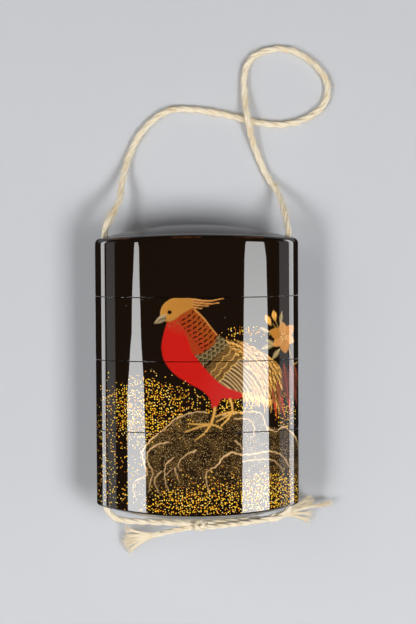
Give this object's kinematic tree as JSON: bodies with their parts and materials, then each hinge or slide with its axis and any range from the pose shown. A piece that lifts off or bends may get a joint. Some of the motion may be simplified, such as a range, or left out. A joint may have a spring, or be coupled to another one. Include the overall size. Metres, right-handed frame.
{
  "type": "inro case with carrying cord",
  "caption": "Small flat lacquered carrying case of stacked nesting sections under a lid, elliptical in section with domed ends, threaded on a knotted twisted cotton cord.",
  "frame": {"origin": "on the surface that the case lies on, under the middle of the case without its cord", "axes": "+X across the width, +Y along the stack from the domed base to the lid, +Z out of the decorated front, which faces up as the case lies on its back"},
  "size_m": [0.0713, 0.1521, 0.0239],
  "materials": {
    "black_lacquer": "polished black lacquer over wood, with a painted and gold-sprinkled picture on the front",
    "cotton_cord": "undyed twisted cotton, frayed at the ends"
  },
  "bodies": {
    "root": {"lid": "black_lacquer", "upper_case": "black_lacquer", "middle_case": "black_lacquer", "lower_case": "black_lacquer", "cord": "cotton_cord", "knot": "cotton_cord", "frayed_end_left": "cotton_cord", "frayed_end_right": "cotton_cord"}
  },
  "joints": []
}
